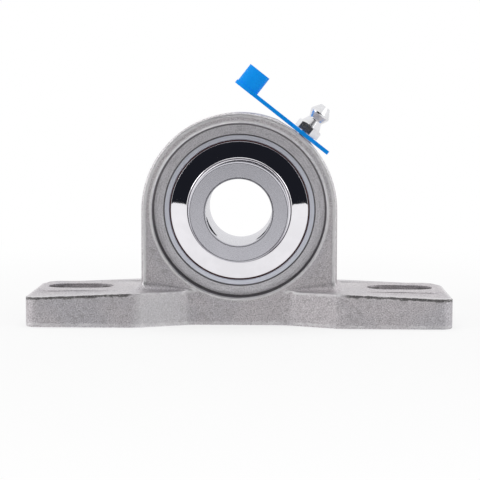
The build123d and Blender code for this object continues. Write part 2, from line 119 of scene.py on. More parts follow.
class Term:
    """A number in a node tree. Arithmetic on it adds Math nodes to its sheet.

    x.root() is the square root, x.fraction() what x has over the next lower whole number,
    y.angle(x) the angle in radians of the vector (x, y), x.most(y) and x.least(y) the larger
    and the smaller of two numbers, and x.above(y) is 1 where x is larger and else 0.
    """

    __add__ = __radd__ = math_method("ADD")
    __sub__, __rsub__ = math_method("SUBTRACT"), math_method("SUBTRACT", reflected=True)
    __mul__ = __rmul__ = math_method("MULTIPLY")
    __truediv__, __rtruediv__ = math_method("DIVIDE"), math_method("DIVIDE", reflected=True)
    __abs__, fraction = math_method("ABSOLUTE"), math_method("FRACT")
    root, angle = math_method("SQRT"), math_method("ARCTAN2")
    most, least = math_method("MAXIMUM"), math_method("MINIMUM")
    above = math_method("GREATER_THAN")

    def __init__(self, sheet: "NodeSheet", socket: bpy.types.NodeSocket) -> None:
        self.sheet = sheet
        self.socket = socket

    def __neg__(self) -> "Term":
        """The number with its sign turned."""
        return self * -1.0

    def hypot(self, other: Number) -> "Term":
        """Length of the vector whose two components are this number and another."""
        return (self * self + other * other).root()

    def rise(self, low: Number, high: Number) -> "Term":
        """Smooth step.

        Args:
            low: where the step leaves 0.
            high: where it reaches 1.

        Returns:
            A number from 0 to 1.
        """
        inputs = {"Value": self, "From Min": low, "From Max": high}
        kind, course = "ShaderNodeMapRange", "SMOOTHSTEP"
        return Term(self.sheet, self.sheet.first(kind, inputs, interpolation_type=course))

    def fall(self, low: Number, high: Number) -> "Term":
        """Smooth step down, from 1 at the low end to 0 at the high end."""
        return 1 - self.rise(low, high)

    def near(self, middle: Number, core: Number, edge: Number) -> "Term":
        """Band round a value.

        Args:
            middle: the value.
            core: how far from it the band is still 1.
            edge: how far from it the band has faded to 0.

        Returns:
            A number from 0 to 1.
        """
        return abs(self - middle).fall(core, edge)


class NodeSheet:
    """A node tree that is being built."""

    def __init__(self, tree: bpy.types.NodeTree) -> None:
        self.tree = tree

    def node(self, kind: str, settings: Optional[Dict[str, Any]] = None,
             inputs: Optional[Dict[Union[str, int], Any]] = None) -> bpy.types.Node:
        """Adds one node.

        Args:
            kind: the node's type.
            settings: its properties, set first.
            inputs: values or links of its sockets, by name or by number.

        Returns:
            The node.
        """
        made = self.tree.nodes.new(kind)
        for name, value in (settings or {}).items():
            setattr(made, name, value)
        for key, value in (inputs or {}).items():
            value = value.socket if isinstance(value, Term) else value
            if isinstance(value, bpy.types.NodeSocket):
                self.tree.links.new(value, made.inputs[key])
            else:
                made.inputs[key].default_value = value
        return made

    def first(self, kind: str, inputs: Dict[Union[str, int], Any],
              **settings: Any) -> bpy.types.NodeSocket:
        """First output of a new node with these inputs and settings."""
        return self.node(kind, settings, inputs).outputs[0]

    def split(self, vector: bpy.types.NodeSocket) -> Tuple[Term, Term, Term]:
        """The three components of a vector."""
        parts = self.node("ShaderNodeSeparateXYZ", None, {0: vector}).outputs
        return Term(self, parts[0]), Term(self, parts[1]), Term(self, parts[2])

    def join(self, x: Number, y: Number, z: Number) -> bpy.types.NodeSocket:
        """A vector from three components."""
        return self.first("ShaderNodeCombineXYZ", {0: x, 1: y, 2: z})

    def scale(self, vector: bpy.types.NodeSocket, share: Number) -> bpy.types.NodeSocket:
        """A vector made longer or shorter."""
        return self.first("ShaderNodeVectorMath", {0: vector, "Scale": share}, operation="SCALE")


def empty_tree(owner: Union[bpy.types.Material, bpy.types.World]) -> bpy.types.NodeTree:
    """The node tree of a material or world, switched on and emptied."""
    owner.use_nodes = True
    owner.node_tree.nodes.clear()
    return owner.node_tree


def toned(colour: Colour, share: float) -> Colour:
    """A colour made darker or lighter, never past 1."""
    return tuple(min(1.0, c * share) for c in colour)


class Surface(NodeSheet):
    """A material that is being built, with lengths in millimetres."""

    def __init__(self, name: str) -> None:
        self.material = bpy.data.materials.new(name)
        super().__init__(empty_tree(self.material))
        self.place = self.scale(self.node("ShaderNodeTexCoord").outputs["Object"], 1 / MM)
        self.x, self.y, self.z = self.split(self.place)
        self.up = self.z - SHAFT_LEVEL
        self.radius = self.x.hypot(self.up)

    def grain(self, size: float, detail: float = 2.0, vector: Any = None) -> Term:
        """Noise whose middle is 0.5.

        Args:
            size: breadth of one lump in millimetres, or in the vector's own units.
            detail: how many finer layers it has.
            vector: what it follows, or nothing for the plain place on the object.

        Returns:
            The noise.
        """
        inputs = {"Vector": vector or self.place, "Scale": 1 / size, "Detail": detail}
        return Term(self, self.first("ShaderNodeTexNoise", inputs))

    def mix(self, first: Any, second: Any, share: Number) -> bpy.types.NodeSocket:
        """Blend of two colours.

        Args:
            first: colour where the share is 0.
            second: colour where it is 1.
            share: how much of the second.

        Returns:
            The blended colour.
        """
        plain = [(*c, 1.0) if isinstance(c, tuple) else c for c in (first, second)]
        inputs = {"Factor": share, 6: plain[0], 7: plain[1]}
        return self.node("ShaderNodeMix", {"data_type": "RGBA"}, inputs).outputs[2]

    def finish(self, shade: bpy.types.NodeSocket, rough: Term, relief: Term, depth: float,
               **others: float) -> bpy.types.Material:
        """Ends the material in one Principled surface.

        Args:
            shade: its colour.
            rough: its roughness.
            relief: its bumps, about 0 to 1.
            depth: what 1 stands for, in millimetres.
            others: further inputs, with an underscore for each space.

        Returns:
            The material.
        """
        raised = {"Strength": 1.0, "Distance": depth * MM, "Height": relief}
        inputs = {name.replace("_", " "): value for name, value in others.items()}
        inputs["Base Color"], inputs["Roughness"] = shade, rough
        inputs["Normal"] = self.first("ShaderNodeBump", raised)
        surface = self.first("ShaderNodeBsdfPrincipled", inputs)
        self.node("ShaderNodeOutputMaterial", None, {"Surface": surface})
        return self.material


# ---- Form of the casting -----------------------------------------------------------------
@dataclass(frozen=True)
class CastShape:
    """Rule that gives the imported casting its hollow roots, level pads and crisper rims.

    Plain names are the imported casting's sizes, and names with new_ are what they become.
    Points are folded into the quarter of the base where x and y are positive, x being along
    the base, y across it and z upwards.
    """

    shaft_height: float = SHAFT_LEVEL
    web_face: float = 12.2
    dome_radius: float = 29.08
    new_dome_radius: float = 28.38
    rim_radius: float = 1.5
    new_rim_radius: float = 0.9
    root_radius: float = 3.1
    new_root_radius: float = 2.8
    root_fade: float = 12.9
    root_fade_power: float = 0.7
    root_level: float = 9.7
    new_root_level: float = 10.05
    slope: float = 0.0449
    new_slope: float = 0.0443
    new_slope_start: float = 31.1
    pad_rise: float = 1.1
    new_pad_level: float = 9.97
    least_new_pad_rise: float = 0.08
    pad_half_width: float = 13.6
    new_pad_half_width: float = 12.0
    pad_end: float = 59.5
    pad_corner: float = 9.0
    new_pad_corner: float = 5.0
    skirt_share: float = 0.6
    foot_edge: float = 0.9
    new_foot_edge: float = 0.5
    foot_end: float = 62.5
    new_foot_end: float = 61.6
    foot_side: float = 19.0
    foot_corner: float = 8.0
    new_foot_corner: float = 4.0
    feet_below: float = 11.5
    slot_half_width: float = 6.0
    slot_reach: Point = (38.0, 56.0)
    still_to: float = 27.0
    seat_face: float = 8.9
    mouth_stops: Tuple[float, ...] = (24.88, 25.78, 26.2, 27.0)
    new_mouth_stops: Tuple[float, ...] = (24.88, 25.38, 25.85, 27.0)
    nipple_angle: float = 52.0
    nipple_reach: Point = (4.2, 7.5)
    root_reach: float = 5.0
    root_buried: float = 0.5
    root_buried_above: float = 10.2
    touch: float = 0.02
    loose_touch: float = 0.03
    bead_touch: float = 0.25
    plan_touch: float = 0.05
    side_slack: float = 0.001

    @staticmethod
    def _squared(x: np.ndarray, y: np.ndarray, end: Point, old: float, new: float) -> Columns:
        """Moves points of one rounded corner outwards, as its radius shrinks.

        Args:
            x: distances along the base.
            y: distances across it.
            end: where the corner's two sides would meet.
            old: the corner's radius.
            new: its new radius.

        Returns:
            The new x and y.
        """
        along, across = x - (end[0] - old), y - (end[1] - old)
        reach = np.hypot(along, across)
        inside = (along > 0) & (across > 0) & (reach > 0.7 * old)
        safe = np.where(inside, reach, 1.0)
        cosine, sine = np.where(inside, along / safe, 1.0), np.where(inside, across / safe, 0.0)
        flat = old / np.maximum(cosine, sine)
        inset = old - new
        both = inset * (cosine + sine)
        bent = both + np.sqrt(np.maximum(both ** 2 - 2 * inset ** 2 + new ** 2, 0.0))
        on_flat = flat * np.minimum(cosine, sine) <= inset
        grow = np.where(inside, np.where(on_flat, flat, bent) / old, 1.0)
        return (np.where(grow > 1, end[0] - old + along * grow, x),
                np.where(grow > 1, end[1] - old + across * grow, y))

    def _roots(self, places: Columns) -> Columns:
        """Turns the beads at the web's roots into hollow fillets.

        Args:
            places: x, y and z.

        Returns:
            Which points lie on a root, and their new x, y and z.
        """
        x, y, z = places
        start, corner = self.dome_radius - self.rim_radius, self.web_face - self.rim_radius
        past_x, past_y = np.maximum(x - start, 0.0), np.maximum(y - corner, 0.0)
        turn = np.arctan2(past_y, past_x)
        away = np.hypot(past_x, past_y) - self.rim_radius
        share = turn / (math.pi / 2)
        up = z - (self.root_level + self.pad_rise * (1 - share))
        fade = np.clip((x - self.root_fade) / (start - self.root_fade), 0.01, 1.0)
        radius = self.root_radius * fade ** self.root_fade_power
        touch, bead_touch = self.loose_touch, self.bead_touch
        near = (x > self.root_fade) & (past_x + past_y > 0) & (np.abs(away) < self.root_reach)
        bead = near & (away > -touch) & (up > -touch)
        bead &= np.abs(np.hypot(away, up) - radius) < bead_touch
        low = near & (away > self.touch) & (up <= -touch) & (up > -self.root_buried)
        low &= (np.abs(away - radius) < bead_touch) & (z > self.root_buried_above)
        new_away = np.where(bead, radius - up, away)
        new_up = np.where(bead, np.maximum(radius - away, 0.0), 0.0)
        scale = self.new_root_radius / self.root_radius
        level = self.new_pad_level * (1 - share) + self.new_root_level * share
        reach = self.new_rim_radius + np.maximum(new_away, 0.0) * scale
        along = self.new_dome_radius - self.new_rim_radius + reach * np.cos(turn)
        across = self.web_face - self.new_rim_radius + reach * np.sin(turn)
        along, across = np.where(past_x > 0, along, x), np.where(past_y > 0, across, y)
        return bead | low, along, across, level + new_up * scale

    def _web(self, places: Columns, side: np.ndarray) -> Columns:
        """Draws the dome and the legs in to their new outline, but not round the nipple.

        Args:
            places: x, y and z.
            side: -1 or 1 for the half of the base.

        Returns:
            The new x, y and z.
        """
        x, y, z = places
        up = np.maximum(z - self.shaft_height, 0.0)
        reach = np.hypot(x, up)
        start = self.dome_radius - self.rim_radius
        stretch = (self.new_dome_radius - start) / self.rim_radius
        wanted = np.where(reach > start, start + (reach - start) * stretch, reach)
        angle = math.radians(self.nipple_angle)
        sideways = -side * x * math.sin(angle) + up * math.cos(angle)
        outwards = side * x * math.cos(angle) + up * math.sin(angle)
        low, high = self.nipple_reach
        free = np.clip((np.hypot(sideways, y) - low) / (high - low), 0.0, 1.0)
        free = np.where(outwards > 0.5 * self.dome_radius, free * free * (3 - 2 * free), 1.0)
        factor = (reach + (wanted - reach) * free) / np.maximum(reach, TINY)
        rounded = (reach > start + 0.01) & (y > self.web_face - self.rim_radius)
        inset = (self.web_face - y) * self.new_rim_radius / self.rim_radius
        across = np.where(rounded, self.web_face - inset, y)
        x, z = x * factor, np.where(z > self.shaft_height, self.shaft_height + up * factor, z)
        radius = np.maximum(np.hypot(x, z - self.shaft_height), TINY)
        mouth = (y > self.seat_face + self.touch) & (radius < self.mouth_stops[-1])
        mouth &= radius >= self.mouth_stops[0]
        eased = np.interp(radius, self.mouth_stops, self.new_mouth_stops)
        scale = np.where(mouth, eased / radius, 1.0)
        return x * scale, across, self.shaft_height + (z - self.shaft_height) * scale

    def _feet(self, places: Columns) -> Columns:
        """Squares the feet's corners, levels their pads and lifts their edges.

        Args:
            places: x, y and z.

        Returns:
            The new x, y and z.
        """
        x, y, z = places
        level = self.root_level - np.maximum(x - self.dome_radius, 0.0) * self.slope
        new_level = self.new_root_level - np.maximum(x - self.new_slope_start, 0.0) * self.new_slope
        pad_level = np.maximum(self.new_pad_level, new_level + self.least_new_pad_rise)
        over = z - level
        on_pad = (over > -self.touch) & (y < self.pad_half_width + self.plan_touch)
        on_pad &= x < self.pad_end + self.plan_touch
        skirt = new_level + self.skirt_share * (pad_level - new_level)
        share = np.clip(over / self.pad_rise, 0.0, 1.0)
        lifted = np.where(on_pad, skirt + share * (pad_level - skirt), new_level)
        edge = new_level + over * self.new_foot_edge / self.foot_edge
        height = np.where(over > -self.foot_edge - self.touch, edge, z)
        height = np.where(over > -self.touch, lifted, height)
        pad_x, pad_y = self._squared(x, y, (self.pad_end, self.pad_half_width), self.pad_corner,
                                     self.new_pad_corner)
        pad_y = np.interp(pad_y, (0.0, self.slot_half_width, self.pad_half_width, self.foot_side),
                          (0.0, self.slot_half_width, self.new_pad_half_width, self.foot_side))
        foot_x, foot_y = self._squared(x, y, (self.foot_end, self.foot_side), self.foot_corner,
                                       self.new_foot_corner)
        along, across = np.where(on_pad, pad_x, foot_x), np.where(on_pad, pad_y, foot_y)
        across = np.minimum(across, self.foot_side - self.side_slack)
        old_stops = (0.0, self.still_to, self.dome_radius, *self.slot_reach, self.foot_end)
        new_stops = (0.0, self.still_to, self.new_dome_radius, *self.slot_reach, self.new_foot_end)
        return np.interp(along, old_stops, new_stops), across, height

    def moved(self, points: np.ndarray) -> np.ndarray:
        """Moves every point of the casting to its new place.

        Args:
            points: one row for each point, in millimetres.

        Returns:
            The new rows.
        """
        side, depth = np.where(points[:, 0] < 0, -1.0, 1.0), np.where(points[:, 1] < 0, -1.0, 1.0)
        places = x, y, z = np.abs(points[:, 0]), np.abs(points[:, 1]), points[:, 2]
        rooted, *root = self._roots(places)
        web, feet = self._web(places, side), self._feet(places)
        beside_web = (x > self.dome_radius + self.touch) | (y > self.web_face + self.touch)
        foot = (z < self.feet_below) & beside_web & ~rooted
        parts = [np.where(rooted, a, np.where(foot, b, c)) for a, b, c in zip(root, feet, web)]
        return np.stack([parts[0] * side, parts[1] * depth, parts[2]], axis=1)


# ---- Finishes ----------------------------------------------------------------------------
class CastSurface(Surface):
    """The casting's material in the making, with a mask for each mark that follows its form.

    A mask is 1 on its mark and 0 away from it; some marks are painted highlights and painted
    shade. Like the form, the marks are the same on all four quarters of the base, apart from
    the painted highlight on the waist's left flank.
    """

    def __init__(self, steel: "CastSteel") -> None:
        super().__init__("bead_blasted_casting")
        self.steel, self.form = steel, steel.form
        self.recess, self.seat = self.form.new_mouth_stops[0], self.form.seat_face
        self.fine, self.coarse = self.grain(steel.fine_size, 3.0), self.grain(steel.coarse_size)
        self.ragged = (self.coarse - 0.5) * 1.6 + (self.fine - 0.5) * 1.2
        self.along, self.across = abs(self.x), abs(self.y)
        # how far inside the web's rim, off its face, inside the feet's plan and below their top
        self.outline = self.form.new_dome_radius - self.along.hypot(self.up.most(0.0))
        self.off_face = abs(self.form.web_face - self.across)
        self.rim = abs(self.outline) + self.off_face
        self.plan = self._inside_plan()
        run = (self.along - self.form.new_slope_start).most(0.0)
        self.top = self.form.new_root_level - run * self.form.new_slope - self.z
        # the legs' sides are left rough, and the rim's wear and painted glints are fainter on them
        # than on the dome above
        self.leg = self.z.fall(*steel.leg_top)
        self.under = self.z.fall(*steel.under_top)

    def _inside_plan(self) -> Term:
        """How far a place lies inside the outline of the feet and the waist."""
        corner = self.form.new_foot_corner
        corner_x = self.along - (self.form.new_foot_end - corner)
        corner_y = self.across - (self.form.foot_side - corner)
        outside = corner_x.most(0.0).hypot(corner_y.most(0.0))
        rounded = corner - outside - corner_x.most(corner_y).least(0.0)
        (start_x, start_y), (run_x, run_y) = self.steel.waist_start, self.steel.waist_slant
        slant = (self.along - start_x) * run_y - (self.across - start_y) * run_x
        return rounded.least(slant / math.hypot(run_x, run_y))

    def wear_and_highlight(self) -> Term:
        """Bright edges: rubbed feet and sole band, rubbed rim with painted glints, painted
        highlights on shoulder and mouth.
        """
        mouth = abs(self.radius - self.form.new_mouth_stops[1]) + self.off_face
        shoulder = abs(self.outline - self.steel.rim_shoulder) + self.off_face * 0.8
        edge = abs(self.top) + abs(self.plan)
        rubbed = self.grain(6.0, 2.0, self.join(self.x, 0.0, 0.0)).rise(0.38, 0.62)
        sole = (self.z - self.steel.sole_band).near((self.coarse - 0.5) * 0.9, 0.15, 0.55)
        # the rim, rubbed and dotted with painted glints
        wear_and_highlight = (self.rim + self.ragged).fall(*self.steel.rim_wear_and_glint) * self.fine.rise(0.40, 0.60)
        wear_and_highlight = wear_and_highlight * (1 - self.leg * 0.75)
        # painted highlights along the rim's shoulder and round the recess's mouth
        wear_and_highlight = wear_and_highlight.most((shoulder + self.ragged * 0.35).fall(*self.steel.shoulder_highlight))
        wear_and_highlight = wear_and_highlight.most((mouth + self.ragged * 0.3).fall(*self.steel.mouth_highlight) * 1.15)
        wear_and_highlight = wear_and_highlight.most((edge + self.ragged).fall(*self.steel.edge_wear) * 0.85)
        return wear_and_highlight.most(sole * self.plan.fall(0.2, 0.5) * (0.25 + rubbed * 0.45))

    def seam(self) -> Term:
        """Rough seam that the mould's parting line left along the feet."""
        breadth = self.grain(2.4, 3.0, self.join(self.x, 0.0, 0.0))
        off = abs(self.top - self.steel.seam_drop) + abs(self.plan) * 0.9
        off = off + (self.coarse - 0.5) * 1.2
        on_foot = (self.along - self.steel.seam_start).rise(0.0, 3.0)
        return off.fall(0.2, 0.75) * breadth.rise(0.26, 0.42) * on_foot

    def cut(self) -> Term:
        """Machined surfaces: the seat with its faces, and the underside."""
        bored = self.radius.fall(self.recess - 0.05, self.recess + 0.05)
        return (bored * self.across.fall(self.seat + 0.02, self.seat + 0.12)).most(self.under)

    def tool_lines(self) -> Term:
        """Marks of the lathe round the seat and of the mill along the underside."""
        lathe = self.grain(0.11, 2.0, self.join(self.radius, self.up.angle(self.x) * 0.6, 0.0))
        mill = self.grain(0.5, 3.0, self.join(self.x * 1.6, self.y * 0.12, 0.0))
        return lathe * (1 - self.under) + mill * self.under

    def shaded(self) -> Term:
        """Painted shade in the gap round the insert, in the recess's corner and down the bolt
        slots.
        """
        inside = self.across.rise(self.seat - 1.2, self.seat - 0.9)
        gap = self.radius.near(self.steel.seat_edge, 0.10, 0.22) * inside
        lip = (self.radius - self.recess).near(0.16, 0.16, 0.30) * inside
        slot = self.along.near(self.steel.slot_middle, *self.steel.slot_end)
        slot = slot * self.across.fall(*self.steel.slot_side)
        slot = slot * self.z.fall(*self.steel.slot_top) * (1 - self.under)
        return (gap * 0.9).most(lip * 0.72).most(slot * 0.6)

    def painted_flank_highlight(self) -> Term:
        """Painted highlight on the slanted flank of the waist, on the left side only."""
        left, steel = -self.x, self.steel
        across = (self.across - self.form.web_face).rise(0.0, 0.6)
        along = left.rise(*steel.flank_start) * left.fall(*steel.flank_end)
        return along * across * self.z.fall(*steel.flank_top)


@dataclass(frozen=True)
class CastSteel:
    """Bead-blasted stainless casting, with its seat and its underside machined bright.

    A pair is where a mark's edge starts to fade in or out and where it ends, apart from the
    waist's two, which are a point and a direction in plan.
    """

    form: CastShape = CastShape()
    shade: Colour = (0.65, 0.615, 0.636)
    cool_shade: Colour = (0.585, 0.568, 0.60)
    # light of wear and speckle, and of the painted highlights
    wear_and_highlight_shade: Colour = (0.90, 0.89, 0.90)
    # dark of the seam's pits, and of the painted shade in gaps, corners and slots
    pit_and_shadow_shade: Colour = (0.10, 0.095, 0.095)
    cut_shade: Colour = (0.73, 0.712, 0.745)
    roughness: float = 0.54
    cut_roughness: float = 0.36
    relief_depth: float = 0.17
    fine_size: float = 0.34
    coarse_size: float = 1.3
    cloud_size: float = 17.0
    # where the rim's wear and painted glints, the painted shoulder and mouth highlights and the
    # feet's edge wear fade
    rim_wear_and_glint: Point = (0.5, 1.5)
    rim_shoulder: float = 0.85
    shoulder_highlight: Point = (0.25, 0.75)
    mouth_highlight: Point = (0.40, 0.95)
    edge_wear: Point = (0.3, 1.1)
    leg_top: Point = (26.0, 46.0)
    leg_foot: Point = (11.0, 13.0)
    leg_edge: Point = (0.8, 2.4)
    under_top: Point = (0.02, 0.08)
    # where the painted highlight on the waist's left flank fades in and out
    flank_start: Point = (8.0, 22.0)
    flank_end: Point = (28.0, 31.5)
    flank_top: Point = (8.8, 9.6)
    # where the painted shade lies: the gap round the insert and the bolt slots
    seat_edge: float = 22.05
    slot_middle: float = 47.5
    slot_end: Point = (9.8, 10.1)
    slot_side: Point = (5.1, 5.4)
    slot_top: Point = (9.15, 9.5)
    sole_band: float = 0.75
    seam_drop: float = 0.50
    seam_start: float = 29.0
    waist_start: Point = (12.9, 11.95)
    waist_slant: Point = (16.68, 7.05)

    def _colour(self, s: CastSurface, wear_and_highlight: Term, seam: Term) -> bpy.types.NodeSocket:
        """The colour of the casting, with painted highlights on its flank, feet and rims.

        Args:
            s: the material in the making.
            wear_and_highlight: mask of the rubbed edges and of the highlights painted on the rims.
            seam: mask of the rough seam.

        Returns:
            The colour.
        """
        fine, dark = s.fine, toned(self.shade, 0.55)
        rough_leg = s.rim.fall(*self.leg_edge) * s.leg * fine.rise(0.42, 0.56)
        rough_leg = rough_leg * s.z.rise(*self.leg_foot)
        # painted highlight along the feet's tops, which stands in for their bright reflection
        painted_top_highlight = abs(s.top).fall(0.05, 0.25) * s.plan.rise(0.3, 1.2)
        shade = s.mix(self.cool_shade, self.shade, s.grain(self.cloud_size).rise(0.35, 0.65))
        for share in (fine.fall(0.34, 0.52) * 0.75, s.coarse.fall(0.30, 0.48) * 0.45,
                      rough_leg * 0.7):
            shade = s.mix(shade, dark, share)
        # lighter: painted highlights on the left flank and the feet's tops, rims with wear and
        # painted highlights, light speckle
        for share in (s.painted_flank_highlight() * 0.42, painted_top_highlight * 0.22, wear_and_highlight * 0.75,
                      fine.rise(0.56, 0.68) * 0.6):
            shade = s.mix(shade, self.wear_and_highlight_shade, share)
        return s.mix(shade, self.pit_and_shadow_shade, seam * fine.rise(0.26, 0.44) * 0.92)

    def material(self) -> bpy.types.Material:
        """Builds the casting's material."""
        s = CastSurface(self)
        wear_and_highlight, seam, cut, lines = s.wear_and_highlight(), s.seam(), s.cut(), s.tool_lines()
        grit = (lines * 0.55 + s.fine * 0.45).rise(0.38, 0.58)
        bright = s.mix(toned(self.cut_shade, 0.66), self.cut_shade, grit)
        shade = s.mix(self._colour(s, wear_and_highlight, seam), bright, cut)
        # painted shade in the gap round the insert, in the recess's corner and down the bolt slots
        shade = s.mix(shade, self.pit_and_shadow_shade, s.shaded())
        rough = self.roughness + (s.coarse - 0.5) * 0.12 - wear_and_highlight * 0.12
        rough = rough * (1 - cut) + (self.cut_roughness + (lines - 0.5) * 0.12) * cut
        relief = (s.fine * 0.55 + s.coarse * 0.45 + seam * s.coarse * 1.6) * (1 - cut)
        relief = relief + (lines * 0.22 + 0.4) * cut
        return s.finish(shade, rough, relief, self.relief_depth, Metallic=1.0)


@dataclass(frozen=True)
class TurnedSteel:
    """Steel turned or ground round the shaft's axis, with fine concentric marks.

    Past the edge radius, which by default lies outside every part, the surface is painted dark
    as shade, and there is a thin line of painted shade at each ring.
    """

    name: str
    shade: Colour
    roughness: float
    mark_size: float = 0.10
    mark_depth: float = 0.012
    mark_contrast: float = 0.12
    # painted shade past this radius and along each of these rings
    edge_radius: float = 100.0
    rings: Tuple[float, ...] = ()

    def material(self) -> bpy.types.Material:
        """Builds the ring's material."""
        s = Surface(self.name)
        turn = s.up.angle(s.x)
        marks = s.grain(self.mark_size, 2.0, s.join(s.radius, turn * 0.35, s.y * 0.9))
        bands = s.grain(1.2, 2.0, s.join(s.radius, turn * 0.5, s.y))
        stain = s.grain(7.0, 3.0)
        dark = toned(self.shade, 1 - self.mark_contrast)
        light = toned(self.shade, 1 + 0.6 * self.mark_contrast)
        # painted shade past the edge radius and thin lines of it along the rings
        edge = s.radius.rise(self.edge_radius - 0.08, self.edge_radius + 0.04)
        shade = s.mix(dark, light, marks.rise(0.3, 0.7))
        shade = s.mix(shade, dark, bands.rise(0.5, 0.8) * 0.5)
        shade = s.mix(shade, toned(self.shade, 0.12), edge)
        for ring in self.rings:
            shade = s.mix(shade, toned(self.shade, 0.22), s.radius.near(ring, 0.05, 0.16))
        rough = self.roughness + (marks - 0.5) * 0.10 + (stain - 0.5) * 0.06
        return s.finish(shade, rough, marks * 0.7 + bands * 0.3, self.mark_depth, Metallic=1.0)


@dataclass(frozen=True)
class PolishedSteel:
    """Mirror-bright pressed stainless sheet, with faint rubbing marks."""

    shade: Colour = (0.86, 0.845, 0.88)
    roughness: float = 0.035
    smear_depth: float = 0.01

    def material(self) -> bpy.types.Material:
        """Builds the sheet's material."""
        s = Surface("mirror_polished_sheet")
        smear = s.grain(6.0, 4.0)
        hair = s.grain(0.18, 2.0, s.join(s.radius, s.up.angle(s.x) * 1.5, s.y))
        shade = s.mix(toned(self.shade, 0.96), self.shade, smear.rise(0.4, 0.6))
        rough = self.roughness + smear.rise(0.5, 0.75) * 0.03 + hair.rise(0.6, 0.8) * 0.02
        return s.finish(shade, rough, smear * 0.6 + hair * 0.05, self.smear_depth, Metallic=1.0)


@dataclass(frozen=True)
class PlainSteel:
    """Small steel parts: balls, cage, spring, screws and plating."""

    name: str
    shade: Colour
    roughness: float
    grain_size: float = 0.8
    grain_depth: float = 0.01
    contrast: float = 0.10

    def material(self) -> bpy.types.Material:
        """Builds the part's material."""
        s = Surface(self.name)
        grain = s.grain(self.grain_size, 4.0)
        stain = s.grain(self.grain_size * 5, 3.0)
        shade = s.mix(toned(self.shade, 1 - self.contrast), self.shade,
                      (grain * 0.6 + stain * 0.4).rise(0.35, 0.6))
        rough = self.roughness * (0.85 + 0.3 * stain)
        return s.finish(shade, rough, grain, self.grain_depth, Metallic=1.0)


@dataclass(frozen=True)
class SealRubber:
    """Moulded red-brown rubber with a dry bloom."""

    shade: Colour = (0.115, 0.022, 0.014)
    bloom: Colour = (0.20, 0.075, 0.06)
    roughness: float = 0.55
    grain_depth: float = 0.02

    def material(self) -> bpy.types.Material:
        """Builds the rubber's material."""
        s = Surface("seal_rubber_moulded")
        cloud, fine = s.grain(4.0, 3.0), s.grain(0.25)
        shade = s.mix(self.shade, self.bloom, cloud.rise(0.45, 0.75) * 0.5)
        return s.finish(shade, self.roughness + (fine - 0.5) * 0.2, fine, self.grain_depth)


@dataclass(frozen=True)
class CapPlastic:
    """Blue moulded polyethylene."""

    shade: Colour = (0.0, 0.33, 1.0)
    deep: Colour = (0.0, 0.29, 0.95)
    roughness: float = 0.50
    gloss: float = 0.12
    scatter: float = 0.06
    scatter_depth: float = 1.5
    grain_depth: float = 0.03

    def material(self) -> bpy.types.Material:
        """Builds the plastic's material."""
        s = Surface("blue_moulded_plastic")
        cloud, fine = s.grain(5.0), s.grain(0.3, 3.0)
        shade = s.mix(self.shade, self.deep, cloud.rise(0.45, 0.8) * 0.35)
        rough, relief = self.roughness + (fine - 0.5) * 0.16, fine * 0.5 + cloud * 0.5
        return s.finish(shade, rough, relief, self.grain_depth, Specular_IOR_Level=self.gloss,
                        Subsurface_Weight=self.scatter, Subsurface_Scale=self.scatter_depth * MM)


Finish = Union[CastSteel, TurnedSteel, PolishedSteel, PlainSteel, SealRubber, CapPlastic]


# ---- Meshes ------------------------------------------------------------------------------
def in_scene(name: str, data: bpy.types.ID) -> bpy.types.Object:
    """A new object in the scene that holds a mesh, lamp or camera."""
    made = bpy.data.objects.new(name, data)
    bpy.context.scene.collection.objects.link(made)
    return made


def mesh_object(name: str, points: Sequence[Sequence[float]], faces: Sequence[Sequence[int]],
                edges: Sequence[Sequence[int]] = ()) -> bpy.types.Object:
    """A mesh object in the scene.

    Args:
        name: its name.
        points: its vertices in metres.
        faces: its faces as vertex numbers.
        edges: its bare edges as vertex numbers.

    Returns:
        The object.
    """
    mesh = bpy.data.meshes.new(name)
    mesh.from_pydata([tuple(p) for p in points], list(edges), [tuple(f) for f in faces])
    return in_scene(name, mesh)


def grid_faces(rows: int, columns: int, closed: bool) -> List[Tuple[int, int, int, int]]:
    """Quads between rows of points.

    Args:
        rows: how many rows.
        columns: how many points in each.
        closed: whether each row is a ring.

    Returns:
        The quads as point numbers.
    """
    last = columns if closed else columns - 1
    return [(row * columns + col, row * columns + (col + 1) % columns,
             (row + 1) * columns + (col + 1) % columns, (row + 1) * columns + col)
            for row in range(rows - 1) for col in range(last)]


def arc(centre: Point, radius: float, start: float, end: float, steps: int) -> List[Point]:
    """Points along an arc.

    Args:
        centre: its centre.
        radius: its radius.
        start: first angle in degrees.
        end: last angle in degrees.
        steps: how many runs it is divided into.

    Returns:
        The points, both ends included.
    """
    angles = np.radians(np.linspace(start, end, steps + 1))
    return [(centre[0] + radius * math.cos(a), centre[1] + radius * math.sin(a)) for a in angles]


def clean(piece: bpy.types.Object, smooth_angle: float) -> None:
    """Merges doubles, turns faces outwards and shades by angle.

    Args:
        piece: the mesh object.
        smooth_angle: edges sharper than this many degrees stay sharp.
    """
    shape = bmesh.new()
    shape.from_mesh(piece.data)
    bmesh.ops.remove_doubles(shape, verts=shape.verts, dist=MERGE_DISTANCE)
    bmesh.ops.recalc_face_normals(shape, faces=shape.faces)
    for face in shape.faces:
        face.smooth = True
    for edge in shape.edges:
        sharp = len(edge.link_faces) == 2 and edge.calc_face_angle(0.0) > math.radians(smooth_angle)
        edge.smooth = not sharp
    shape.to_mesh(piece.data)
    shape.free()


def plain_mesh(piece: bpy.types.Object) -> bpy.types.Mesh:
    """A new mesh of an object with its modifiers worked in."""
    graph = bpy.context.evaluated_depsgraph_get()
    return bpy.data.meshes.new_from_object(piece.evaluated_get(graph))


def dress(piece: bpy.types.Object, material: bpy.types.Material) -> None:
    """Gives every slot of an object one material."""
    if not piece.material_slots:
        piece.data.materials.append(material)
    for slot in piece.material_slots:
        slot.material = material


def report(piece: bpy.types.Object) -> None:
    """Logs a finished piece."""
    LOG.info("built %s, %d faces", piece.name, len(piece.data.polygons))


